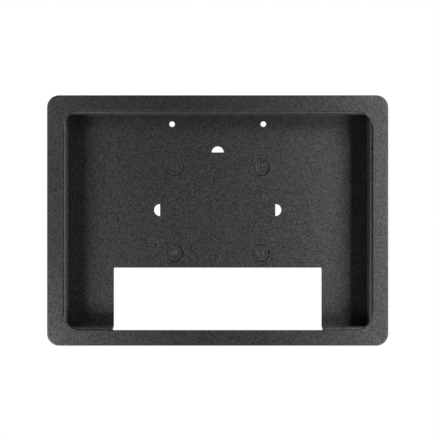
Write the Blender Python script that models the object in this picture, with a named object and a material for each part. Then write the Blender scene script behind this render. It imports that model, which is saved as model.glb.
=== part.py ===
# Flush housing for a wall-mounted tablet: a folded steel box welded behind a flat rim plate, and four threaded
# bosses in its back. X runs along the width, Z is up and the open front faces -Y. The origin is at the centre of
# the boss pattern, in the plane of the bosses' rear faces, where the bracket plate behind the housing seats.

from math import cos, pi, sin

import bmesh
import bpy
from mathutils import Matrix, Vector

MM = 0.001

SHEET = 1.5 * MM  # rim plate and box alike

# Rim plate
RIM_WIDTH = 295.0 * MM
RIM_HEIGHT = 216.5 * MM
RIM_CORNER = 10.5 * MM
RIM_LAND = 13.5 * MM  # outer edge to the opening
OPENING_CORNER = 14.0 * MM
EDGE_ROUND = 0.5 * MM  # softened cut edges

# Folded box behind it
DEPTH = 30.0 * MM  # front of the rim to the rear of the back plate
WALL_SETBACK = 3.0 * MM  # edge of the rim's opening to the inner face of the walls
WALL_CORNER = 1.0 * MM  # inner face, seen from the front
FLOOR_BEND = 0.5 * MM  # inside radius, wall to back plate
LIP_BEND = 0.5 * MM  # inside radius, wall to lip
LIP_WIDTH = 8.0 * MM  # turned out behind the rim plate, from the inner face of the wall

# Boss pattern and what lines up with it
BOSS_SPACING = 75.0 * MM
PATTERN_RISE = 9.1 * MM  # centre of the pattern above the centre of the rim
BRACKET_MARGIN = 12.5 * MM  # boss centre to the edge of the square bracket plate behind
BRACKET_GAP = 0.25 * MM  # from that edge to the openings round it
D_HOLE_RADIUS = 5.2 * MM

# Screw holes near the top wall
SCREW_HOLE_DIAMETER = 6.0 * MM
SCREW_HOLE_SPACING = 79.5 * MM
SCREW_HOLE_DROP = 7.8 * MM  # below the inner face of the top wall

# Cable window, cut through the back plate, the bottom wall and its lip
WINDOW_WIDTH = 181.0 * MM

# Threaded boss
BOSS_FACE_DIAMETER = 15.0 * MM
BOSS_SEAT_DIAMETER = 18.0 * MM  # shoulder behind the back plate
BOSS_STAND_OFF = 3.5 * MM  # height behind the back plate
BOSS_FACE_DEPTH = 0.3 * MM  # boss face below the front of the back plate
BOSS_EDGE = 0.4 * MM  # chamfer round the boss
THREAD_CORE_DIAMETER = 3.3 * MM
THREAD_DEPTH = 3.8 * MM
THREAD_LEAD_IN = 0.45 * MM
CENTRE_MARK_RADIUS = 2.1 * MM
CENTRE_MARK_DEPTH = 0.35 * MM
CLEARANCE = 0.3 * MM  # between a boss and the back plate

# Fineness of the curved faces
CORNER_STEPS = 16
BEND_STEPS = 6
EDGE_STEPS = 2
ROUND_STEPS = 48
SMALL_ROUND_STEPS = 32
SHARP_ANGLE = pi / 6

# Sizes that follow
PLATE_REAR = -BOSS_STAND_OFF  # depths, from front to back
PLATE_FRONT = PLATE_REAR - SHEET
RIM_FRONT = PLATE_REAR - DEPTH
LIP_FRONT = RIM_FRONT + SHEET
OPENING_WIDTH = RIM_WIDTH - 2 * RIM_LAND
OPENING_HEIGHT = RIM_HEIGHT - 2 * RIM_LAND
BOX_WIDTH = OPENING_WIDTH - 2 * WALL_SETBACK
BOX_HEIGHT = OPENING_HEIGHT - 2 * WALL_SETBACK
LIP_BEND_OUTSIDE = LIP_BEND + SHEET
CENTRE_Z = -PATTERN_RISE
BRACKET_HALF = BOSS_SPACING / 2 + BRACKET_MARGIN
BRACKET_LINE = BRACKET_HALF + BRACKET_GAP
SCREW_HOLE_Z = CENTRE_Z + BOX_HEIGHT / 2 - SCREW_HOLE_DROP
WINDOW_TOP = -BRACKET_LINE
WINDOW_BOTTOM = CENTRE_Z - BOX_HEIGHT / 2 - LIP_WIDTH - SHEET  # past the lip's edge


def clear_scene():
    for item in list(bpy.data.objects):
        bpy.data.objects.remove(item, do_unlink=True)


def powder_coat(name, colour, roughness):
    material = bpy.data.materials.new(name)
    material.use_nodes = True
    shader = material.node_tree.nodes["Principled BSDF"]
    shader.inputs["Base Color"].default_value = (*colour, 1.0)
    shader.inputs["Roughness"].default_value = roughness
    shader.inputs["Metallic"].default_value = 0.0
    return material


def finished_mesh(name, bm, material=None):
    bmesh.ops.recalc_face_normals(bm, faces=bm.faces)
    mesh = bpy.data.meshes.new(name)
    bm.to_mesh(mesh)
    bm.free()
    mesh.shade_smooth()
    mesh.set_sharp_from_angle(angle=SHARP_ANGLE)
    if material:
        mesh.materials.append(material)
    return mesh


def add_object(name, mesh, place=(0, 0, 0)):
    item = bpy.data.objects.new(name, mesh)
    item.location = place
    bpy.context.scene.collection.objects.link(item)
    return item


def arc(centre, radius, start, end, steps):
    # points of a circular arc, both ends included, angles in degrees
    angles = [(start + (end - start) * i / steps) * pi / 180 for i in range(steps + 1)]
    return [(centre[0] + radius * cos(a), centre[1] + radius * sin(a)) for a in angles]


def rounded_rectangle(width, height, radius):
    # outline in the XZ plane, one arc at each corner
    outline = []
    for quarter, (side_x, side_z) in enumerate(((1, 1), (-1, 1), (-1, -1), (1, -1))):
        centre = (side_x * (width / 2 - radius), side_z * (height / 2 - radius))
        outline += arc(centre, radius, 90 * quarter, 90 * quarter + 90, CORNER_STEPS)
    return outline


def wall_ring(offset, y):
    # loop at a distance outside the inner face of the walls
    outline = rounded_rectangle(BOX_WIDTH + 2 * offset, BOX_HEIGHT + 2 * offset, WALL_CORNER + offset)
    return [(x, y, z) for x, z in outline]


def opening_ring(offset, y):
    # loop at a distance outside the edge of the rim's opening
    outline = rounded_rectangle(OPENING_WIDTH + 2 * offset, OPENING_HEIGHT + 2 * offset, OPENING_CORNER + offset)
    return [(x, y, z) for x, z in outline]


def rim_ring(inset, y):
    # loop at a distance inside the outer edge of the rim
    outline = rounded_rectangle(RIM_WIDTH - 2 * inset, RIM_HEIGHT - 2 * inset, RIM_CORNER - inset)
    return [(x, y, z) for x, z in outline]


def box_rings():
    # once round the sheet: along its inner side from the floor to the lip, and back along its outer side
    floor_centre = (-FLOOR_BEND, PLATE_FRONT - FLOOR_BEND)
    lip_centre = (LIP_BEND_OUTSIDE, LIP_FRONT + LIP_BEND_OUTSIDE)
    path = arc(floor_centre, FLOOR_BEND, 90, 0, BEND_STEPS)
    path += arc(lip_centre, LIP_BEND_OUTSIDE, 180, 270, BEND_STEPS)
    path += [(LIP_WIDTH, LIP_FRONT), (LIP_WIDTH, LIP_FRONT + SHEET)]
    path += arc(lip_centre, LIP_BEND, 270, 180, BEND_STEPS)
    path += arc(floor_centre, FLOOR_BEND + SHEET, 0, 90, BEND_STEPS)
    return [wall_ring(offset, y) for offset, y in path]


def rim_rings():
    # once round the plate: out of the opening along its rear, round the outer edge and back along its front
    front_edge = (EDGE_ROUND, RIM_FRONT + EDGE_ROUND)
    rear_edge = (EDGE_ROUND, LIP_FRONT - EDGE_ROUND)
    opening = arc(front_edge, EDGE_ROUND, 270, 180, EDGE_STEPS) + [(0, LIP_FRONT)]
    outer = arc(rear_edge, EDGE_ROUND, 90, 180, EDGE_STEPS) + arc(front_edge, EDGE_ROUND, 180, 270, EDGE_STEPS)
    return [opening_ring(offset, y) for offset, y in opening] + [rim_ring(inset, y) for inset, y in outer]


def lofted(name, rings, closed, material):
    # skin over the rings in turn: closed on itself, or else with the first and the last ring filled
    bm = bmesh.new()
    loops = [[bm.verts.new(point) for point in ring] for ring in rings]
    for near, far in zip(loops, loops[1:] + loops[:1] if closed else loops[1:]):
        for i, corner in enumerate(near):
            bm.faces.new((corner, near[i - 1], far[i - 1], far[i]))
    if not closed:
        bm.faces.new(loops[0])
        bm.faces.new(loops[-1])
    bmesh.ops.translate(bm, verts=bm.verts, vec=(0, 0, CENTRE_Z))
    return add_object(name, finished_mesh(name, bm, material))


def hide_tool(item):
    item.hide_render = True
    item.display_type = "WIRE"
    return item


def prism(name, outline, front=PLATE_FRONT - SHEET):
    # cutter: an XZ outline carried through the back plate from a depth in front of it
    rear = PLATE_REAR + SHEET
    bm = bmesh.new()
    face = bm.faces.new([bm.verts.new((x, front, z)) for x, z in outline])
    grown = bmesh.ops.extrude_face_region(bm, geom=[face])["geom"]
    moved = [item for item in grown if isinstance(item, bmesh.types.BMVert)]
    bmesh.ops.translate(bm, verts=moved, vec=(0, rear - front, 0))
    return hide_tool(add_object(name, finished_mesh(name, bm)))


def circle(x, z, radius, steps):
    return arc((x, z), radius, 0, 360 - 360 / steps, steps - 1)


def boss_places():
    half = BOSS_SPACING / 2
    return {
        "boss_upper_left": (-half, half),
        "boss_upper_right": (half, half),
        "boss_lower_left": (-half, -half),
        "boss_lower_right": (half, -half),
    }


def window_cutter():
    half = WINDOW_WIDTH / 2
    outline = [(-half, WINDOW_BOTTOM), (half, WINDOW_BOTTOM), (half, WINDOW_TOP), (-half, WINDOW_TOP)]
    return prism("window_cutter", outline, RIM_FRONT)


def screw_hole_cutters():
    radius = SCREW_HOLE_DIAMETER / 2
    for side, name in ((-1, "left"), (1, "right")):
        outline = circle(side * SCREW_HOLE_SPACING / 2, SCREW_HOLE_Z, radius, SMALL_ROUND_STEPS)
        yield prism(f"screw_hole_cutter_{name}", outline)


def d_hole_cutters():
    # half discs on the top, left and right edges of the bracket plate, their flats along those edges
    half_disc = arc((0, BRACKET_LINE), D_HOLE_RADIUS, 0, 180, SMALL_ROUND_STEPS // 2)
    for name, turn in (("top", 0), ("left", 90), ("right", -90)):
        turned = Matrix.Rotation(turn * pi / 180, 2)
        outline = [tuple(turned @ Vector(point)) for point in half_disc]
        yield prism(f"d_hole_cutter_{name}", outline)


def boss_hole_cutters():
    radius = BOSS_FACE_DIAMETER / 2 + CLEARANCE
    for name, (x, z) in boss_places().items():
        yield prism(f"{name}_cutter", circle(x, z, radius, ROUND_STEPS))


def boss_profile():
    # (radius, y) from the centre of the front face, over the shoulder and into the blind thread
    face_y = PLATE_FRONT + BOSS_FACE_DEPTH
    seat_y = PLATE_REAR + CLEARANCE
    face = BOSS_FACE_DIAMETER / 2
    seat = BOSS_SEAT_DIAMETER / 2
    core = THREAD_CORE_DIAMETER / 2
    return [
        (0, face_y + CENTRE_MARK_DEPTH),
        (CENTRE_MARK_RADIUS / 2, face_y + CENTRE_MARK_DEPTH / 2),
        (CENTRE_MARK_RADIUS, face_y),
        (face - BOSS_EDGE / 2, face_y),
        (face, face_y + BOSS_EDGE / 2),
        (face, seat_y),
        (seat - BOSS_EDGE / 2, seat_y),
        (seat, seat_y + BOSS_EDGE / 2),
        (seat, -BOSS_EDGE),
        (seat - BOSS_EDGE, 0),
        (core + THREAD_LEAD_IN, 0),
        (core, -THREAD_LEAD_IN),
        (core, -THREAD_DEPTH + core / 2),
        (0, -THREAD_DEPTH),
    ]


def boss_mesh(material):
    # the profile turned about its own axis, with a pole at each end
    bm = bmesh.new()
    (_, face_y), *sides, (_, core_y) = boss_profile()
    rings = [[bm.verts.new((x, y, z)) for x, z in circle(0, 0, radius, ROUND_STEPS)] for radius, y in sides]
    face_pole = bm.verts.new((0, face_y, 0))
    core_pole = bm.verts.new((0, core_y, 0))
    for i in range(ROUND_STEPS):
        bm.faces.new((face_pole, rings[0][i - 1], rings[0][i]))
        bm.faces.new((core_pole, rings[-1][i], rings[-1][i - 1]))
        for near, far in zip(rings, rings[1:]):
            bm.faces.new((near[i], near[i - 1], far[i - 1], far[i]))
    return finished_mesh("threaded_boss", bm, material)


def combine(item, tool, operation="DIFFERENCE"):
    boolean = item.modifiers.new(tool.name, "BOOLEAN")
    boolean.operation = operation
    boolean.solver = "EXACT"
    boolean.object = tool


def main():
    clear_scene()
    finish = powder_coat("black_powder_coat", (0.012, 0.012, 0.013), 0.55)
    boss_finish = powder_coat("black_coated_boss", (0.014, 0.014, 0.015), 0.5)

    # the window is cut in the box alone, and the rim plate crosses it below
    housing = lofted("housing", box_rings(), False, finish)
    rim_plate = hide_tool(lofted("rim_plate", rim_rings(), True, finish))
    combine(housing, window_cutter())
    combine(housing, rim_plate, "UNION")
    for cutter in (*screw_hole_cutters(), *d_hole_cutters(), *boss_hole_cutters()):
        combine(housing, cutter)

    boss = boss_mesh(boss_finish)
    for name, (x, z) in boss_places().items():
        add_object(name, boss, (x, 0, z))


main()
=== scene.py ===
import math

import bmesh
import bpy
import numpy as np
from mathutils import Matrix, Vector


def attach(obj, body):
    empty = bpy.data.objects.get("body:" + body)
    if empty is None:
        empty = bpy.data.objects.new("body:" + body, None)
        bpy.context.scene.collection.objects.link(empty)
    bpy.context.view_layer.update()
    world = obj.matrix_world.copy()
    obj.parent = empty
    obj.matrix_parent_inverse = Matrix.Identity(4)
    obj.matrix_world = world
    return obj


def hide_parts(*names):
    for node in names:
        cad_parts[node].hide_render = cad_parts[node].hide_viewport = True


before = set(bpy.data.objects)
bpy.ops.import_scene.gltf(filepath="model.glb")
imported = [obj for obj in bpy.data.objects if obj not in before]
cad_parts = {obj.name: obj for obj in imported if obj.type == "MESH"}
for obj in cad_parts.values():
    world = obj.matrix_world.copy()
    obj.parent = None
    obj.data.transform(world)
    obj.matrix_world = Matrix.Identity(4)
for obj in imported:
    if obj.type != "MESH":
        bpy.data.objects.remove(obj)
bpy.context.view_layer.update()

# Flush housing for a wall-mounted tablet, dressed. The folded box with its rim plate and the four threaded
# bosses are made again over the CAD solids, with finer bends, softened cut edges and a real thread, and
# everything gets its powder coat.
# X runs along the width, Z is up, the open front faces -Y, and the origin is the centre of the boss pattern.

mm = 0.001
print("stage: frame loaded")

# Sizes of the sheet metal, in mm, which the box, the rim plate, the window and the holes all use
sheet = {
    "thickness": 1.5,
    "rimWidth": 295.0,
    "rimHeight": 216.5,
    "rimCorner": 10.5,
    "rimLand": 13.5,  # outer edge of the rim plate to its opening
    "openingCorner": 16.0,
    "wallSetback": 3.0,  # edge of that opening to the inner face of the walls
    "wallCorner": 1.0,
    "floorBend": 0.5,  # inside radius, wall to back plate
    "lipBend": 1.5,  # inside radius, wall to lip
    "lipWidth": 8.0,  # from the inner face of the wall, behind the rim plate
    "depth": 30.0,
    "standOff": 3.5,  # boss seats behind the back plate
    "patternRise": 9.1,  # centre of the boss pattern above the centre of the rim
}
plateRear = -sheet["standOff"]
plateFront = plateRear - sheet["thickness"]
rimFront = plateRear - sheet["depth"]
lipFront = rimFront + sheet["thickness"]
openingWidth = sheet["rimWidth"] - 2 * sheet["rimLand"]
openingHeight = sheet["rimHeight"] - 2 * sheet["rimLand"]
boxWidth = openingWidth - 2 * sheet["wallSetback"]
boxHeight = openingHeight - 2 * sheet["wallSetback"]
lipBendOutside = sheet["lipBend"] + sheet["thickness"]
centreHeight = -sheet["patternRise"]
boxBottom = centreHeight - boxHeight / 2


# Meshes from numpy arrays

def gridFaces(rows, columns):
    # quads between neighbouring rows, each closed on itself, whose points are numbered row by row
    row, column = np.meshgrid(np.arange(rows - 1), np.arange(columns), indexing="ij")
    following = (column + 1) % columns
    corners = (row * columns + column, row * columns + following,
               (row + 1) * columns + following, (row + 1) * columns + column)
    return np.stack(corners, axis=-1).reshape(-1, 4)


def cappedFaces(rows, columns):
    # the same quads, and one flat face each over the first and the last row
    caps = [list(range(columns)), list(range((rows - 1) * columns, rows * columns))]
    return gridFaces(rows, columns).tolist() + caps


def closedMesh(name, points, faces):
    # a closed shell from points in mm, turned so that its faces point outwards
    mesh = bpy.data.meshes.new(name)
    mesh.from_pydata((np.asarray(points) * mm).tolist(), [], faces)
    shell = bmesh.new()
    shell.from_mesh(mesh)
    bmesh.ops.recalc_face_normals(shell, faces=shell.faces)
    shell.to_mesh(mesh)
    shell.free()
    return mesh


def addObject(name, mesh):
    item = bpy.data.objects.new(name, mesh)
    bpy.context.scene.collection.objects.link(item)
    return item


def arcPoints(centre, radius, start, end, steps):
    # circular arc, both ends included: centre + radius * (cos a, sin a), angles in degrees
    angle = np.radians(np.linspace(start, end, steps + 1))
    return np.stack((centre[0] + radius * np.cos(angle), centre[1] + radius * np.sin(angle)), axis=1)


# The box and the rim plate: sections carried round rounded rectangles

loft = {
    "edgeRound": 0.85,  # softened front edges of the rim plate
    "rearEdgeRound": 0.3,
    "weldDepth": 0.02,  # how far the rim plate's rear sinks into the lip
    "lipEdgeRound": 0.25,
    "cornerSteps": 28,
    "bendSteps": 14,
    "edgeSteps": 5,
    "sideStops": [0.012, 0.1, 0.2, 0.3, 0.4, 0.5, 0.6, 0.7, 0.8, 0.9, 0.988],
    "margin": 1.2,  # flat kept beside each bend, so that the shading turns only in the bend
    "smallestCorner": 0.15,
    "sharpAngle": 32,  # edges that turn more than this stay sharp
}


def outlineParameters():
    # round the outline once: the corner centre as two signs and the angle of the outward direction.
    # In a corner only the angle changes, along a side only one sign does.
    signs = np.array([(1, 1), (-1, 1), (-1, -1), (1, -1)], float)
    stops = np.array(loft["sideStops"])[:, None]
    parts = []
    for quarter in range(4):
        here, there = signs[quarter], signs[(quarter + 1) % 4]
        angle = 90 * quarter + np.linspace(0, 90, loft["cornerSteps"] + 1)
        parts.append(np.column_stack((np.tile(here, (len(angle), 1)), angle)))
        side = here + (there - here) * stops
        parts.append(np.column_stack((side, np.full(len(stops), 90.0 * (quarter + 1)))))
    return np.concatenate(parts)


def outlineRows(width, height, corner, path):
    # half width, half height, corner radius and depth y of the outline at each step of a path, whose points
    # are (distance outside the outline, y)
    offset, y = np.asarray(path).T
    radius = np.maximum(corner + offset, loft["smallestCorner"])
    return np.stack((width / 2 + offset, height / 2 + offset, radius, y), axis=1)


def boxRows():
    # once round the sheet: along its inner side from the back plate to the lip, and back along its outer side
    bend, outside, inside = sheet["floorBend"], lipBendOutside, sheet["lipBend"]
    thickness, lip = sheet["thickness"], sheet["lipWidth"]
    margin, edge = loft["margin"], loft["lipEdgeRound"]
    floorCentre = (-bend, plateFront - bend)
    lipCentre = (outside, lipFront + outside)
    path = np.concatenate((
        [(-bend - margin, plateFront)],
        arcPoints(floorCentre, bend, 90, 0, loft["bendSteps"]),
        [(0, plateFront - bend - margin), (0, lipFront + outside + margin)],
        arcPoints(lipCentre, outside, 180, 270, loft["bendSteps"]),
        [(outside + margin, lipFront), (lip - edge - margin, lipFront)],
        arcPoints((lip - edge, lipFront + edge), edge, 270, 360, loft["edgeSteps"]),
        arcPoints((lip - edge, lipFront + thickness - edge), edge, 0, 90, loft["edgeSteps"]),
        [(lip - edge - margin, lipFront + thickness), (outside + margin, lipFront + thickness)],
        arcPoints(lipCentre, inside, 270, 180, loft["bendSteps"]),
        [(thickness, lipFront + outside + margin), (thickness, plateFront - bend - margin)],
        arcPoints(floorCentre, bend + thickness, 0, 90, loft["bendSteps"]),
        [(-bend - margin, plateRear)]))
    return outlineRows(boxWidth, boxHeight, sheet["wallCorner"], path)


def rimRows():
    # once round the plate: out of its opening along the rear, round the outer edge and back along the front
    edge, rearEdge = loft["edgeRound"], loft["rearEdgeRound"]
    margin, steps = loft["margin"], loft["edgeSteps"]
    rear = lipFront + loft["weldDepth"]
    opening = np.concatenate((
        [(edge + margin, rimFront)],
        arcPoints((edge, rimFront + edge), edge, 270, 180, steps),
        [(0, rear), (margin, rear)]))
    outer = np.concatenate((
        [(-rearEdge - margin, rear)],
        arcPoints((-rearEdge, rear - rearEdge), rearEdge, 90, 0, steps),
        arcPoints((-edge, rimFront + edge), edge, 0, -90, steps),
        [(-edge - margin, rimFront)]))
    return np.concatenate((outlineRows(openingWidth, openingHeight, sheet["openingCorner"], opening),
                           outlineRows(sheet["rimWidth"], sheet["rimHeight"], sheet["rimCorner"], outer)))


def lofted(name, rows, closed):
    # x = sign * (half width - radius) + radius * cos a, and z likewise with the half height and sin a.
    # A closed section runs back into its first row, another one is filled at its first and last row.
    signX, signZ, angle = outlineParameters().T
    halfWidth, halfHeight, radius, y = rows.T[:, :, None]
    angle = np.radians(angle)
    x = signX * (halfWidth - radius) + radius * np.cos(angle)
    z = signZ * (halfHeight - radius) + radius * np.sin(angle) + centreHeight
    points = np.stack((x, np.broadcast_to(y, x.shape), z), axis=-1)
    count, columns = x.shape
    if closed:
        faces = (gridFaces(count + 1, columns) % (count * columns)).tolist()
    else:
        faces = cappedFaces(count, columns)
    return addObject(name, closedMesh(name, points.reshape(-1, 3), faces))


# Cutters for the openings, each with softened edges where it passes the faces of the sheet

cutEdge = {
    "round": 0.28,  # deburred edge of the window and the small holes
    "roundSteps": 4,
    "stopAngle": 62,  # the rounding runs out into a straight flare here, which cuts the face cleanly
    "overshoot": 0.45,
    "mergeWithin": 0.001,  # points that a cut leaves closer than this become one
}


def throughRows(frontRound=cutEdge["round"]):
    # depth t through the sheet and how far the cutter is wider there: w = r (1 - cos a), t = r (1 - sin a)
    angle = np.radians(np.linspace(cutEdge["stopAngle"], 0, cutEdge["roundSteps"] + 1))
    slope = math.tan(math.radians(cutEdge["stopAngle"]))

    def side(radius):
        depth, wider = radius * (1 - np.sin(angle)), radius * (1 - np.cos(angle))
        outside = wider[0] + (depth[0] + cutEdge["overshoot"]) * slope
        return np.append(-cutEdge["overshoot"], depth), np.append(outside, wider)

    frontDepth, frontWider = side(frontRound)
    rearDepth, rearWider = side(cutEdge["round"])
    depth = np.append(frontDepth, (sheet["thickness"] - rearDepth)[::-1])
    return depth, np.append(frontWider, rearWider[::-1])


def plateCutter(name, outline, outward, frontRound=cutEdge["round"]):
    # outline in XZ carried through the back plate: point + wider(t) * outward direction
    depth, wider = throughRows(frontRound)
    flat = outline[None] + wider[:, None, None] * outward[None]
    y = np.broadcast_to((plateFront + depth)[:, None], flat.shape[:2])
    points = np.stack((flat[..., 0], y, flat[..., 1]), axis=-1)
    return addObject(name, closedMesh(name, points.reshape(-1, 3), cappedFaces(*y.shape)))


def circleOutline(x, z, radius, steps):
    angle = np.linspace(0, 2 * math.pi, steps, endpoint=False)
    outward = np.stack((np.cos(angle), np.sin(angle)), axis=1)
    return np.array((x, z)) + radius * outward, outward


# The openings. The window is cut through the back plate, the wall, the lip and the bends between them, before
# the rim plate crosses it.

window = {
    "width": 181.0,
    "corner": 0.8,
    "cornerSteps": 5,
    "floorSteps": 6,
    "wallSteps": 4,
    "runOut": 1.5,  # past the edge of the lip
}

holes = {
    "bossSpacing": 75.0,
    "bracketMargin": 12.5,  # boss centre to the edge of the square bracket plate
    "bracketGap": 0.25,  # from that edge to the openings round it
    "bossHole": 15.6,
    "bossHoleRound": 0.42,
    "dRadius": 5.2,
    "screwDiameter": 4.8,
    "screwSpacing": 79.5,
    "screwDrop": 7.8,  # below the inner face of the top wall
    "roundSteps": 72,
    "smallSteps": 48,
}
bossHalf = holes["bossSpacing"] / 2
bracketLine = bossHalf + holes["bracketMargin"] + holes["bracketGap"]


def sheetStops():
    # The bottom wall's section unfolded, from the window's top edge: how far along it the floor bend, the
    # wall, the lip bend and the lip start. Each bend is as long as the arc of its visible face.
    bend, outside = sheet["floorBend"], lipBendOutside
    floorRun = -bracketLine - (boxBottom + bend)
    wallRun = plateFront - bend - (lipFront + outside)
    wallStart = floorRun + bend * math.pi / 2
    bendStart = wallStart + wallRun
    return floorRun, wallStart, bendStart, bendStart + outside * math.pi / 2


def sheetPoint(along, depth):
    # A point of that section, as (z, y): along runs on the visible face down the floor, round the floor
    # bend, up the wall, round the lip bend and out along the lip, and depth goes into the sheet. Each bend
    # turns the depth direction by the arc length over the bend's visible radius.
    bend, outside = sheet["floorBend"], lipBendOutside
    floorRun, wallStart, bendStart, lipStart = sheetStops()
    first = np.clip((along - floorRun) / bend, 0, math.pi / 2)
    second = np.clip((along - bendStart) / outside, 0, math.pi / 2)
    floorLeft = floorRun - np.minimum(along, floorRun)
    wallDone = np.clip(along - wallStart, 0, bendStart - wallStart)
    lipDone = np.maximum(along - lipStart, 0)
    z = (boxBottom + bend - (bend + depth) * np.sin(first) + floorLeft
         + (outside - depth) * (np.cos(second) - 1) - lipDone)
    y = (plateFront - bend + (bend + depth) * np.cos(first) - wallDone
         - (outside - depth) * np.sin(second))
    return z, y


def windowCutter():
    # a rectangle with rounded upper corners on the unfolded sheet, as wide as the flare at each depth, folded
    # with the sheet
    depth, wider = throughRows()
    floorRun, wallStart, bendStart, lipStart = sheetStops()
    end = lipStart + sheet["lipWidth"] - lipBendOutside + window["runOut"]
    corner, half = window["corner"], window["width"] / 2
    turn = np.radians(np.linspace(0, 90, window["cornerSteps"] + 1))[:, None]
    stops = np.concatenate((
        np.linspace(corner, floorRun, window["floorSteps"] + 1)[1:],
        np.linspace(floorRun, wallStart, loft["bendSteps"] + 1)[1:],
        np.linspace(wallStart, bendStart, window["wallSteps"] + 1)[1:],
        np.linspace(bendStart, lipStart, loft["bendSteps"] + 1)[1:],
        [end]))[:, None]
    topAlong = corner - (corner + wider) * np.cos(turn)
    cornerHalf = half - corner + (corner + wider) * np.sin(turn)
    along = np.concatenate((topAlong, stops + 0 * wider))
    halfWidth = np.concatenate((cornerHalf, half + wider + 0 * stops))
    z, y = sheetPoint(along, depth + 0 * along)
    right = np.stack((halfWidth, y, z), axis=-1)
    left = np.stack((-halfWidth, y, z), axis=-1)[:, ::-1]
    points = np.concatenate((right, left), axis=1)
    rows, columns, _ = points.shape
    level = np.arange(len(depth) - 1)
    across = np.stack((level, level + 1, columns - 2 - level, columns - 1 - level), axis=1)
    faces = gridFaces(rows, columns).tolist() + across.tolist() + (across + (rows - 1) * columns).tolist()
    return addObject("window_cutter", closedMesh("window_cutter", points.reshape(-1, 3), faces))


def dHoleCutters():
    # half discs whose flats lie along the top, left and right edges of the bracket plate
    angle = np.linspace(0, math.pi, holes["smallSteps"] // 2 + 1)
    outward = np.stack((np.cos(angle), np.sin(angle)), axis=1)
    outline = np.array((0, bracketLine)) + holes["dRadius"] * outward
    outward[[0, -1], 1] = -1  # at the two corners the flat moves down as the arc moves out
    for name, turn in (("top", 0), ("left", 90), ("right", -90)):
        c, s = math.cos(math.radians(turn)), math.sin(math.radians(turn))
        turned = np.array(((c, s), (-s, c)))
        yield plateCutter(f"d_hole_cutter_{name}", outline @ turned, outward @ turned)


def screwHoleCutters():
    screwHeight = centreHeight + boxHeight / 2 - holes["screwDrop"]
    for name, side in (("left", -1), ("right", 1)):
        place = (side * holes["screwSpacing"] / 2, screwHeight)
        outline, outward = circleOutline(*place, holes["screwDiameter"] / 2, holes["smallSteps"])
        yield plateCutter(f"screw_hole_cutter_{name}", outline, outward)


def bossHoleCutters():
    for side, x in (("left", -bossHalf), ("right", bossHalf)):
        for level, z in (("lower", -bossHalf), ("upper", bossHalf)):
            outline, outward = circleOutline(x, z, holes["bossHole"] / 2, holes["roundSteps"])
            name = f"boss_hole_cutter_{level}_{side}"
            yield plateCutter(name, outline, outward, holes["bossHoleRound"])


def mergeClose(mesh):
    # a cut leaves points almost on each other where it meets a bend, and this closes the cracks between them
    shell = bmesh.new()
    shell.from_mesh(mesh)
    bmesh.ops.remove_doubles(shell, verts=shell.verts, dist=cutEdge["mergeWithin"] * mm)
    bmesh.ops.dissolve_degenerate(shell, edges=shell.edges, dist=cutEdge["mergeWithin"] * mm)
    shell.to_mesh(mesh)
    shell.free()


def cutAway(item, cutters):
    # takes the cutters out of the item for good, and marks the faces that they leave as cut edges
    sheetFace, cutFace = (bpy.data.materials.new(name) for name in ("sheet_face", "cut_face"))
    item.data.materials.append(sheetFace)
    item.data.materials.append(cutFace)
    for cutter in cutters:
        cutter.data.materials.append(sheetFace)
        cutter.data.materials.append(cutFace)
        cutter.data.polygons.foreach_set("material_index", np.ones(len(cutter.data.polygons), np.int32))
        boolean = item.modifiers.new(cutter.name, "BOOLEAN")
        boolean.operation = "DIFFERENCE"
        boolean.solver = "EXACT"
        boolean.object = cutter
    cutItem = item.evaluated_get(bpy.context.evaluated_depsgraph_get())
    cut = bpy.data.meshes.new_from_object(cutItem)
    item.modifiers.clear()
    item.data = cut
    for cutter in cutters:
        bpy.data.objects.remove(cutter, do_unlink=True)
    mergeClose(cut)
    index = np.zeros(len(cut.polygons), np.int32)
    cut.polygons.foreach_get("material_index", index)
    cut.polygons.foreach_set("material_index", np.zeros(len(index), np.int32))
    cut.materials.clear()
    mark = cut.attributes.new("cutEdge", "FLOAT", "FACE")
    mark.data.foreach_set("value", index.astype(np.float32))
    for material in (sheetFace, cutFace):
        bpy.data.materials.remove(material)


def weldOn(item, other):
    # the other's shell goes into the item's mesh
    both = bmesh.new()
    both.from_mesh(item.data)
    both.from_mesh(other.data)
    both.to_mesh(item.data)
    both.free()
    bpy.data.objects.remove(other, do_unlink=True)


def smoothFaces(item, sharpAngle):
    # large flats keep one normal, and only the bends and rounded edges shade round
    item.data.shade_smooth()
    item.data.set_sharp_from_angle(angle=math.radians(sharpAngle))
    weighted = item.modifiers.new("flat_faces", "WEIGHTED_NORMAL")
    weighted.mode = "FACE_AREA"
    weighted.keep_sharp = True


housing = lofted("housing_skin", boxRows(), False)
cutAway(housing, [windowCutter(), *dHoleCutters(), *screwHoleCutters(), *bossHoleCutters()])
weldOn(housing, lofted("rim_plate", rimRows(), True))
smoothFaces(housing, loft["sharpAngle"])
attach(housing, "root")
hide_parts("housing")
print("stage: box folded, rim plate on, openings cut,", len(housing.data.polygons), "faces")


# The four threaded bosses: a turned profile, and a thread that winds into the rear

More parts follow.
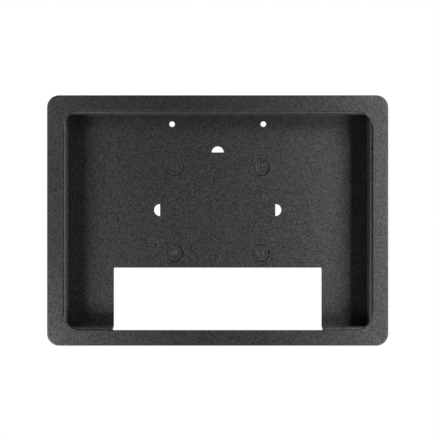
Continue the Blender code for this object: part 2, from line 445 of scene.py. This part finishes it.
boss = {
    "face": 7.5,  # radius of the face seen from the front
    "faceRings": (4.2, 5.6),  # radii of the rows that keep the face flat
    "seat": 9.0,  # radius of the shoulder behind the plate
    "rearRing": 5.0,
    "clearance": 0.3,
    "edge": 0.16,
    "edgeSteps": 4,
    "rearEdge": 0.4,
    "rearEdgeSteps": 5,
    "faceMargin": 0.5,  # flat kept on the two faces inside their rounded edges
    "margin": 0.3,  # and beside the shoulder's rounded edges
    "neckMargin": 0.6,
    "neckFillet": 0.1,
    "ringMargin": 0.4,  # round the neck, off centre as it is, and round the thread's lead-in
    "innermost": 0.2,  # radius of the first row, round the pole
    "markRows": 9,
    "dimple": 1.7,  # radius of the turned centre mark
    "dimpleDepth": 0.3,
    "highlightRing": 1.5,  # radius of the ring in the centre mark that gets a painted highlight in bare-steel colour
    "highlightRingWidth": 0.3,
    "groove": (2.35, 3.05),  # inner and outer radius of the shallow ring round it
    "grooveDepth": 0.12,
    "core": 1.65,
    "coreDepth": 3.1,
    "coneSlope": 0.5,  # rise of the core's bottom cone over its radius
    "coneStops": (0.6, 0.2),  # rows on it, as shares of the core's radius
    "leadIn": 0.45,
    "leadInStops": (1.0, 0.66, 0.33),
    "leadInBare": (0.3, 0.6, 0.6),
    "threadDepth": 0.33,
    "pitch": 0.7,
    "crest": 1.5,
    "flankSlope": 3.2,
    "runOut": 0.45,  # the thread fades over the last stretch of the core
    "columns": 96,
    "threadRows": 44,
    "sharpAngle": 40,
}

# Each boss sits a little differently in its hole: depth of its face below the plate, how far and which way
# (degrees from +X) it is off centre, how much smaller its face is, how strong the painted highlight of
# bare-steel colour on the ring of its centre mark is, and where its thread starts (degrees)
bossFits = {
    "boss_upper_left": {"x": -1, "z": 1, "sunk": 0.50, "off": 0.30, "way": 145,
                        "smaller": 0.12, "mark": 0.00, "start": 20},
    "boss_upper_right": {"x": 1, "z": 1, "sunk": 0.95, "off": 0.48, "way": 165,
                         "smaller": 0.30, "mark": 0.00, "start": 140},
    "boss_lower_left": {"x": -1, "z": -1, "sunk": 1.00, "off": 0.50, "way": 160,
                        "smaller": 0.32, "mark": 0.10, "start": 250},
    "boss_lower_right": {"x": 1, "z": -1, "sunk": 0.95, "off": 0.30, "way": 150,
                         "smaller": 0.42, "mark": 0.00, "start": 310},
}


def bossRows(fit):
    # (radius, y, how far the row shares the off-centre shift, thread depth, cut edge, bare steel and painted
    # highlight) row by row, from the middle of the face round the shoulder and the rear to the core's bottom
    face = plateFront + fit["sunk"]
    seatFace = plateRear + boss["clearance"]
    radius, edge = boss["face"] - fit["smaller"], boss["edge"]
    seat, rearEdge = boss["seat"], boss["rearEdge"]
    core, lead, bottom = boss["core"], boss["leadIn"], -boss["coreDepth"]
    faceMargin, margin, ringMargin = boss["faceMargin"], boss["margin"], boss["ringMargin"]
    parts = []

    def add(path, shift=0.0, thread=0.0, cut=0.0, bareAndHighlight=0.0):
        path = np.asarray(path, float)
        extra = np.broadcast_arrays(np.empty(len(path)), shift, thread, cut, bareAndHighlight)[1:]
        parts.append(np.column_stack((path, *extra)))

    r = np.linspace(boss["innermost"], boss["dimple"], boss["markRows"])
    deep = boss["dimpleDepth"] * (0.5 + 0.5 * np.cos(np.pi * r / boss["dimple"]))
    # painted highlight: a ring of bare-steel colour in the centre mark, where the dimple's rim catches the
    # light
    highlightRing = fit["mark"] * np.exp(-((r - boss["highlightRing"]) / boss["highlightRingWidth"]) ** 2)
    add(np.column_stack((r, face + deep)), shift=1, bareAndHighlight=highlightRing)
    r = np.linspace(*boss["groove"], boss["markRows"])
    deep = boss["grooveDepth"] * np.sin(np.pi * (r - r[0]) / (r[-1] - r[0])) ** 2
    add(np.column_stack((r, face + deep)), shift=1)
    add([(ring, face) for ring in (*boss["faceRings"], radius - edge - faceMargin)], shift=1)
    add(arcPoints((radius - edge, face + edge), edge, 270, 360, boss["edgeSteps"]), shift=1, cut=1)
    add([(radius, face + boss["neckMargin"]), (radius, seatFace - boss["neckFillet"])], shift=1)
    add([(radius + boss["neckFillet"], seatFace)], shift=1)
    add([(radius + fit["off"] + ringMargin, seatFace), (seat - edge - margin, seatFace)])
    add(arcPoints((seat - edge, seatFace + edge), edge, 270, 360, boss["edgeSteps"]), cut=1)
    add([(seat, seatFace + edge + margin), (seat, -rearEdge - margin)])
    add(arcPoints((seat - rearEdge, -rearEdge), rearEdge, 0, 90, boss["rearEdgeSteps"]), cut=1)
    add([(seat - rearEdge - faceMargin, 0), (boss["rearRing"], 0), (core + lead + ringMargin, 0)])
    stops = np.array(boss["leadInStops"])
    add(np.column_stack((core + lead * stops, lead * (stops - 1))), bareAndHighlight=boss["leadInBare"])
    y = np.linspace(-lead, bottom + core * boss["coneSlope"], boss["threadRows"])
    fading = np.clip((y - y[-1]) / boss["runOut"], 0, 1)
    add(np.column_stack((np.full(len(y), core), y)), thread=fading, bareAndHighlight=1)
    r = core * np.array(boss["coneStops"])
    add(np.column_stack((r, bottom + r * boss["coneSlope"])), bareAndHighlight=1)
    return np.concatenate(parts)


def bossPiece(name, fit):
    # x = r cos a, z = r sin a about the boss's axis, where in the thread
    # r = core + depth * wave(y / pitch - a / 360). The wave is the crest less the flank's slope times the
    # distance from the middle of the turn, held between 0 and 1: a triangle with a flattened crest and root.
    radius, y, shift, thread, cut, bareAndHighlight = (part[:, None] for part in bossRows(fit).T)
    angle = np.linspace(0, 2 * math.pi, boss["columns"], endpoint=False)
    turn = (y / boss["pitch"] - (angle + math.radians(fit["start"])) / (2 * math.pi)) % 1.0
    wave = np.clip(boss["crest"] - boss["flankSlope"] * np.abs(turn - 0.5), 0, 1)
    grown = radius + boss["threadDepth"] * thread * wave
    way = math.radians(fit["way"])
    middleX, middleZ = bossHalf * fit["x"], bossHalf * fit["z"]
    offX, offZ = fit["off"] * math.cos(way), fit["off"] * math.sin(way)
    x = grown * np.cos(angle) + shift * offX + middleX
    z = grown * np.sin(angle) + shift * offZ + middleZ
    points = np.stack((x, y + 0 * x, z), axis=-1)
    poles = [(middleX + offX, plateFront + fit["sunk"] + boss["dimpleDepth"], middleZ + offZ),
             (middleX, -boss["coreDepth"], middleZ)]
    count, columns = x.shape
    last = (count - 1) * columns
    column = np.arange(columns)
    following = (column + 1) % columns
    faces = gridFaces(count, columns).tolist()
    for row, pole in ((0, count * columns), (last, count * columns + 1)):
        faces += np.stack((column + row, following + row, np.full(columns, pole)), axis=1).tolist()
    mesh = closedMesh(name, np.vstack((points.reshape(-1, 3), poles)), faces)
    for label, value, atBottom in (("cutEdge", cut, 0.0), ("bareSteelAndHighlight", bareAndHighlight, 1.0)):
        values = np.append(np.repeat(value, columns), (0.0, atBottom)).astype(np.float32)
        mesh.attributes.new(label, "FLOAT", "POINT").data.foreach_set("value", values)
    return addObject(name + "_skin", mesh)


bosses = []
for bossName, bossFit in bossFits.items():
    piece = bossPiece(bossName, bossFit)
    smoothFaces(piece, boss["sharpAngle"])
    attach(piece, "root")
    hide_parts(bossName)
    bosses.append(piece)
print("stage: bosses turned and threaded,", len(bosses[0].data.polygons), "faces each")


# Materials. Black powder coat with a fine grain over everything, and bare steel in the threads, whose colour
# also paints a highlight on the ring of a boss's centre mark.

def addNode(tree, kind, inputs=None, **settings):
    # a node with its settings, where an input is a plain value or another node's output to link
    node = tree.nodes.new(kind)
    for key, value in settings.items():
        setattr(node, key, value)
    for key, value in (inputs or {}).items():
        if isinstance(value, bpy.types.NodeSocket):
            tree.links.new(value, node.inputs[key])
        else:
            node.inputs[key].default_value = value
    return node


def maths(tree, operation, *values, clamp=False):
    node = addNode(tree, "ShaderNodeMath", dict(enumerate(values)), operation=operation, use_clamp=clamp)
    return node.outputs[0]


def shifted(tree, place, offset):
    # the place moved by an offset, which is a vector or a number for all three axes
    return addNode(tree, "ShaderNodeVectorMath", {0: place, 1: offset}, operation="ADD").outputs[0]


def mixColour(tree, amount, first, second):
    # first where amount is 0, second where it is 1
    mix = tree.nodes.new("ShaderNodeMix")
    mix.data_type = "RGBA"
    sockets = [socket for socket in mix.inputs if socket.enabled]
    for socket, value in zip(sockets, (amount, first, second)):
        if isinstance(value, bpy.types.NodeSocket):
            tree.links.new(value, socket)
        else:
            socket.default_value = value
    return next(socket for socket in mix.outputs if socket.enabled)


def newGroup(name, inputs, outputs):
    group = bpy.data.node_groups.new(name, "ShaderNodeTree")
    for label, value in inputs.items():
        socket = group.interface.new_socket(label, in_out="INPUT", socket_type="NodeSocketFloat")
        socket.default_value = value
    for label in outputs:
        group.interface.new_socket(label, in_out="OUTPUT", socket_type="NodeSocketFloat")
    return group, group.nodes.new("NodeGroupInput").outputs, group.nodes.new("NodeGroupOutput").inputs


coatPattern = {
    "grain": 0.8,  # mm, unless a material gives its own
    "peel": 1.2,  # mm, the orange peel
    "detail": 2.0,
    "peelDetail": 1.0,
    "roughness": 0.6,  # of the fine noise and the speckle
    "pebbleScale": 0.75,  # against the grain
    "pebbleSmoothness": 0.7,
    "fineHeight": 0.8,  # how much each layer counts in the bump
    "pebbleHeight": -0.5,
    "peelHeight": 1.3,
    "aside": (0.37, 0.11, 0.53),  # keeps the speckle's noise clear of the bump's
    "speckleScale": 1.25,  # against the peel
    "speckleSpan": (0.33, 0.67),
    "driftScale": 22.0,  # per metre
    "glintShare": 0.003,  # of the grains
    "glintRadius": 0.35,  # against the grain
}


def coatGrainGroup():
    # the cured powder's surface: pebbles, fine noise and an orange peel for the bump, a speckle for tone and
    # gloss, a slow drift over a hand's width, and a few grains that lie flat enough to glint
    given = {"Grain": coatPattern["grain"], "Peel": coatPattern["peel"], "Phase": 0.0}
    group, given, out = newGroup("coatGrain", given, ("Height", "Speckle", "Drift", "Glint"))
    place = addNode(group, "ShaderNodeTexCoord").outputs["Object"]
    moved = shifted(group, place, given["Phase"])
    aside = shifted(group, moved, coatPattern["aside"])
    scale = maths(group, "DIVIDE", 1 / mm, given["Grain"])
    peelScale = maths(group, "DIVIDE", 1 / mm, given["Peel"])
    speckleScale = maths(group, "DIVIDE", coatPattern["speckleScale"] / mm, given["Peel"])

    def noise(vector, size, detail, roughness=0.5):
        inputs = {"Vector": vector, "Scale": size, "Detail": detail, "Roughness": roughness}
        return addNode(group, "ShaderNodeTexNoise", inputs, noise_dimensions="3D").outputs["Fac"]

    pebbleInputs = {"Vector": moved, "Scale": maths(group, "MULTIPLY", scale, coatPattern["pebbleScale"]),
                    "Smoothness": coatPattern["pebbleSmoothness"]}
    pebbles = addNode(group, "ShaderNodeTexVoronoi", pebbleInputs, feature="SMOOTH_F1").outputs["Distance"]
    fine = noise(moved, scale, coatPattern["detail"], coatPattern["roughness"])
    height = maths(group, "MULTIPLY", fine, coatPattern["fineHeight"])
    height = maths(group, "MULTIPLY_ADD", pebbles, coatPattern["pebbleHeight"], height)
    peel = noise(moved, peelScale, coatPattern["peelDetail"])
    height = maths(group, "MULTIPLY_ADD", peel, coatPattern["peelHeight"], height)
    group.links.new(height, out["Height"])

    speckle = noise(aside, speckleScale, coatPattern["detail"], coatPattern["roughness"])
    low, high = coatPattern["speckleSpan"]
    spread = addNode(group, "ShaderNodeMapRange", {"Value": speckle, "From Min": low, "From Max": high})
    group.links.new(spread.outputs[0], out["Speckle"])

    drift = noise(aside, coatPattern["driftScale"], coatPattern["detail"])
    group.links.new(drift, out["Drift"])

    cells = addNode(group, "ShaderNodeTexVoronoi", {"Vector": aside, "Scale": scale}, feature="F1")
    draw = addNode(group, "ShaderNodeSeparateColor", {"Color": cells.outputs["Color"]}).outputs[0]
    chosen = maths(group, "GREATER_THAN", draw, 1 - coatPattern["glintShare"])
    centre = maths(group, "LESS_THAN", cells.outputs["Distance"], coatPattern["glintRadius"])
    group.links.new(maths(group, "MULTIPLY", chosen, centre), out["Glint"])
    return group


wearPattern = {
    "amount": 0.6,  # unless a material gives its own
    "breakSize": 6.0,  # mm
    "detail": 3.0,
    "keptSpan": (0.4, 0.62),  # the noise between which the wear sets in
}


def edgeWearGroup():
    # the coat draws thin over a cut edge: the edge's own mark, broken up by a slow noise
    given = {"Amount": wearPattern["amount"], "Break Size": wearPattern["breakSize"]}
    group, given, out = newGroup("edgeWear", given, ("Worn",))
    mark = addNode(group, "ShaderNodeAttribute", attribute_name="cutEdge").outputs["Fac"]
    place = addNode(group, "ShaderNodeTexCoord").outputs["Object"]
    size = maths(group, "DIVIDE", 1 / mm, given["Break Size"])
    noiseInputs = {"Vector": place, "Scale": size, "Detail": wearPattern["detail"]}
    broken = addNode(group, "ShaderNodeTexNoise", noiseInputs).outputs["Fac"]
    low, high = wearPattern["keptSpan"]
    keptInputs = {"Value": broken, "From Min": low, "From Max": high}
    kept = addNode(group, "ShaderNodeMapRange", keptInputs).outputs[0]
    worn = maths(group, "MULTIPLY", maths(group, "MULTIPLY", mark, kept), given["Amount"], clamp=True)
    group.links.new(worn, out["Worn"])
    return group


coatGrain = coatGrainGroup()
edgeWear = edgeWearGroup()

coat = {
    "colour": (0.0185, 0.0185, 0.0188, 1),
    "gloss": 1.0,  # specular level of the speckle's bright grains
    "dullShare": 0.76,  # share of Metallic in its dull ones: with so dark a colour it takes their shine away
    "speckleGloss": 0.10,  # how far the speckle and the drift move the roughness
    "driftGloss": 0.06,
    "bump": 0.5,
    "bumpHeight": 0.10 * mm,
    "worn": (0.075, 0.075, 0.076, 1),
    "wornSmoother": 0.08,  # how much less rough the coat is there
    "glintSmoother": 0.22,
    # bare steel of the threads, and also the colour of the painted highlight on a centre mark's ring
    "steel": (0.46, 0.45, 0.43, 1),
    "steelSmoother": 0.12,
}

coatLook = {
    "housing": {"grain": 0.9, "phase": 0.0, "roughness": 0.55, "wear": 0.6},
    "boss": {"grain": 0.8, "phase": 3.1, "roughness": 0.54, "wear": 0.8},
}


def coatMaterial(name, look, withBareSteelAndHighlight=False):
    material = bpy.data.materials.new(name)
    material.use_nodes = True
    tree = material.node_tree
    shader = tree.nodes["Principled BSDF"]
    grain = addNode(tree, "ShaderNodeGroup", node_tree=coatGrain)
    grain.inputs["Grain"].default_value = look["grain"]
    grain.inputs["Phase"].default_value = look["phase"]
    wear = addNode(tree, "ShaderNodeGroup", node_tree=edgeWear)
    wear.inputs["Amount"].default_value = look["wear"]
    speckle, drift, glint = (grain.outputs[label] for label in ("Speckle", "Drift", "Glint"))
    worn = wear.outputs["Worn"]

    colour = mixColour(tree, worn, coat["colour"], coat["worn"])
    shining = maths(tree, "MAXIMUM", speckle, worn)
    metallic = maths(tree, "MULTIPLY_ADD", shining, -coat["dullShare"], coat["dullShare"], clamp=True)
    speckleGloss = maths(tree, "MULTIPLY_ADD", speckle, coat["speckleGloss"], -coat["speckleGloss"] / 2)
    driftGloss = maths(tree, "MULTIPLY_ADD", drift, coat["driftGloss"], -coat["driftGloss"] / 2)
    roughness = maths(tree, "ADD", maths(tree, "ADD", speckleGloss, driftGloss), look["roughness"])
    roughness = maths(tree, "MULTIPLY_ADD", worn, -coat["wornSmoother"], roughness)
    roughness = maths(tree, "MULTIPLY_ADD", glint, -coat["glintSmoother"], roughness, clamp=True)
    if withBareSteelAndHighlight:
        # bare steel in the threads, and in the same colour a painted highlight on the ring of the centre mark
        bareAndHighlight = addNode(tree, "ShaderNodeAttribute", attribute_name="bareSteelAndHighlight").outputs["Fac"]
        colour = mixColour(tree, bareAndHighlight, colour, coat["steel"])
        roughness = maths(tree, "MULTIPLY_ADD", bareAndHighlight, -coat["steelSmoother"], roughness, clamp=True)
        metallic = maths(tree, "MAXIMUM", metallic, bareAndHighlight)
    bump = addNode(tree, "ShaderNodeBump", {"Strength": coat["bump"], "Distance": coat["bumpHeight"],
                                            "Height": grain.outputs["Height"]})
    tree.links.new(colour, shader.inputs["Base Color"])
    tree.links.new(metallic, shader.inputs["Metallic"])
    tree.links.new(roughness, shader.inputs["Roughness"])
    tree.links.new(bump.outputs[0], shader.inputs["Normal"])
    shader.inputs["Specular IOR Level"].default_value = coat["gloss"]
    return material


housing.data.materials.append(coatMaterial("black_powder_coat", coatLook["housing"]))
bossCoat = coatMaterial("black_coated_boss", coatLook["boss"], withBareSteelAndHighlight=True)
for piece in bosses:
    piece.data.materials.append(bossCoat)
print("stage: powder coat made")


# Camera, floor and light. The camera looks straight into the box from well away.

shot = {
    "distance": 3.34,  # from the rim's front
    "aside": 0.002,
    "above": 0.0004,  # over the middle of the rim
    "lens": 316.15,
    "sensor": 36.0,
    "clip": (0.05, 50.0),
}
camera = bpy.data.objects.new("camera", bpy.data.cameras.new("camera"))
camera.data.lens = shot["lens"]
camera.data.sensor_width = shot["sensor"]
camera.data.clip_start, camera.data.clip_end = shot["clip"]
camera.location = (shot["aside"], rimFront * mm - shot["distance"], centreHeight * mm + shot["above"])
camera.rotation_euler = (math.pi / 2, 0, 0)
bpy.context.scene.collection.objects.link(camera)
bpy.context.scene.camera = camera

# Small soft boxes close beside the housing, two on the left and three on the right. Between them it stays
# dark, and the walls shade the edges of the back plate. Radiance is in units where a white backdrop is 1.
softBoxes = {
    "left_low": {"place": (-0.25, -0.17, -0.182), "radiance": 54.0},
    "left_high": {"place": (-0.25, -0.17, 0.105), "radiance": 15.0},
    "right_low": {"place": (0.25, -0.17, -0.182), "radiance": 41.0},
    "right_middle": {"place": (0.25, -0.17, -0.01), "radiance": 26.5},
    "right_high": {"place": (0.25, -0.17, 0.162), "radiance": 45.0},
}
softBoxSize = (0.08, 0.06)
softBoxTarget = (0, -0.02, centreHeight * mm)


def softBox(name, place, radiance):
    lamp = bpy.data.lights.new(f"soft_box_{name}", "AREA")
    lamp.shape = "RECTANGLE"
    lamp.size, lamp.size_y = softBoxSize
    lamp.energy = radiance * softBoxSize[0] * softBoxSize[1] * math.pi
    item = bpy.data.objects.new(lamp.name, lamp)
    item.location = place
    aim = Vector(softBoxTarget) - item.location
    item.rotation_euler = aim.to_track_quat("-Z", "Y").to_euler()
    bpy.context.scene.collection.objects.link(item)


for boxName, box in softBoxes.items():
    softBox(boxName, **box)

backdrop = {
    "front": 0.02,  # what the open side sees between the soft boxes
    "behind": 0.9,  # what the rear and the floor see
    "turn": (-0.22, -0.10),  # depth of the view direction over which the dark front passes into the white
    "topTurn": 0.2,  # and how much further round that lies overhead
    "overhead": (0.3, 0.8),  # height of the view direction over which it moves there
    "floorHeight": -0.5,
    "floorStart": -0.02,  # the floor lies behind this depth, so that the box doesn't mirror a pale front
    "floorReach": 1.5,  # half its width
    "floorColour": (0.82, 0.82, 0.815, 1),
    "floorRoughness": 0.9,
    "floorFade": (0.45, 1.0),  # share of plain white at its middle and at its far edges
    "floorFadeSpan": (0.3, 0.97),  # where those lie, as shares of its reach
}
plainWhite = (1, 1, 1, 1)


def studioWorld():
    # white to the camera, dim in front of the housing and bright behind it
    world = bpy.data.worlds.new("studio")
    world.use_nodes = True
    tree = world.node_tree
    background = tree.nodes["Background"]
    direction = addNode(tree, "ShaderNodeTexCoord").outputs["Generated"]
    _, depth, height = addNode(tree, "ShaderNodeSeparateXYZ", {0: direction}).outputs
    low, high = backdrop["overhead"]
    overheadInputs = {"Value": height, "From Min": low, "From Max": high, "To Max": backdrop["topTurn"]}
    overhead = addNode(tree, "ShaderNodeMapRange", overheadInputs).outputs[0]
    start, end = backdrop["turn"]
    lightInputs = {"Value": maths(tree, "SUBTRACT", depth, overhead), "From Min": start, "From Max": end,
                   "To Min": backdrop["front"], "To Max": backdrop["behind"]}
    light = addNode(tree, "ShaderNodeMapRange", lightInputs, interpolation_type="SMOOTHSTEP").outputs[0]
    seen = addNode(tree, "ShaderNodeLightPath").outputs["Is Camera Ray"]
    tree.links.new(maths(tree, "MAXIMUM", light, seen), background.inputs["Strength"])
    background.inputs["Color"].default_value = plainWhite
    bpy.context.scene.world = world


def studioFloor():
    # a pale sheet that passes into the white backdrop at its far edges
    reach, height, start = (backdrop[key] for key in ("floorReach", "floorHeight", "floorStart"))
    mesh = bpy.data.meshes.new("studio_floor")
    mesh.from_pydata([(-reach, start, height), (reach, start, height), (reach, start + 2 * reach, height),
                      (-reach, start + 2 * reach, height)], [], [(0, 1, 2, 3)])
    material = bpy.data.materials.new("pale_floor")
    material.use_nodes = True
    tree = material.node_tree
    shader = tree.nodes["Principled BSDF"]
    shader.inputs["Base Color"].default_value = backdrop["floorColour"]
    shader.inputs["Roughness"].default_value = backdrop["floorRoughness"]
    place = addNode(tree, "ShaderNodeTexCoord").outputs["Object"]
    awayInputs = {0: place, 1: (0, start + reach, height)}
    away = addNode(tree, "ShaderNodeVectorMath", awayInputs, operation="DISTANCE").outputs["Value"]
    near, far = (share * reach for share in backdrop["floorFadeSpan"])
    least, most = backdrop["floorFade"]
    fadeInputs = {"Value": away, "From Min": near, "From Max": far, "To Min": least, "To Max": most}
    fade = addNode(tree, "ShaderNodeMapRange", fadeInputs, interpolation_type="SMOOTHSTEP").outputs[0]
    seen = addNode(tree, "ShaderNodeLightPath").outputs["Is Camera Ray"]
    white = addNode(tree, "ShaderNodeEmission", {"Color": plainWhite, "Strength": 1.0})
    blend = addNode(tree, "ShaderNodeMixShader", {0: maths(tree, "MULTIPLY", fade, seen),
                                                  1: shader.outputs[0], 2: white.outputs[0]})
    tree.links.new(blend.outputs[0], tree.nodes["Material Output"].inputs["Surface"])
    mesh.materials.append(material)
    addObject("studio_floor", mesh)


studioWorld()
studioFloor()
bpy.context.scene.view_settings.view_transform = "Standard"
print("stage: camera and light set")
